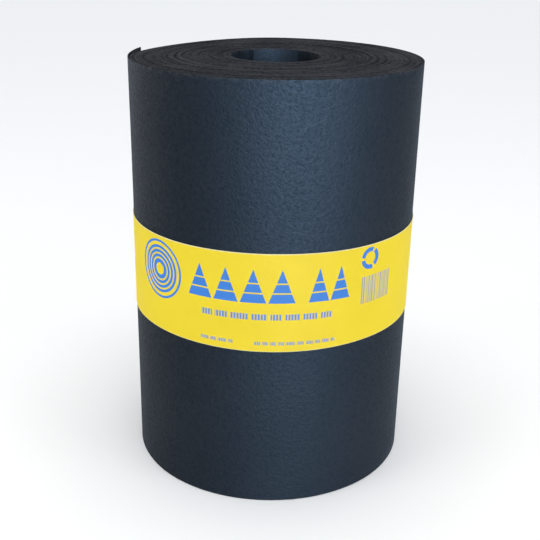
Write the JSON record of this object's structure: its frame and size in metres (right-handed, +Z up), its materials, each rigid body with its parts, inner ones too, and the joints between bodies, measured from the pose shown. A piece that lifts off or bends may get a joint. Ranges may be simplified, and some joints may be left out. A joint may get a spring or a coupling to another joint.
{
  "type": "roll of roofing felt",
  "caption": "Standing roll of saturated roofing felt, wound on itself round an open bore and held shut by a printed paper band.",
  "frame": {"origin": "on the bore's axis, in the plane of the end that the roll stands on", "axes": "+Z up along the bore; the sheet's free outer end is on the -X side, towards +Y"},
  "size_m": [0.3174, 0.3143, 0.457],
  "materials": {
    "felt": "saturated felt, matt with a faint sheen",
    "band_paper": "printed paper, satin"
  },
  "bodies": {
    "root": {"felt_roll": "felt", "paper_band": "band_paper"}
  },
  "joints": []
}
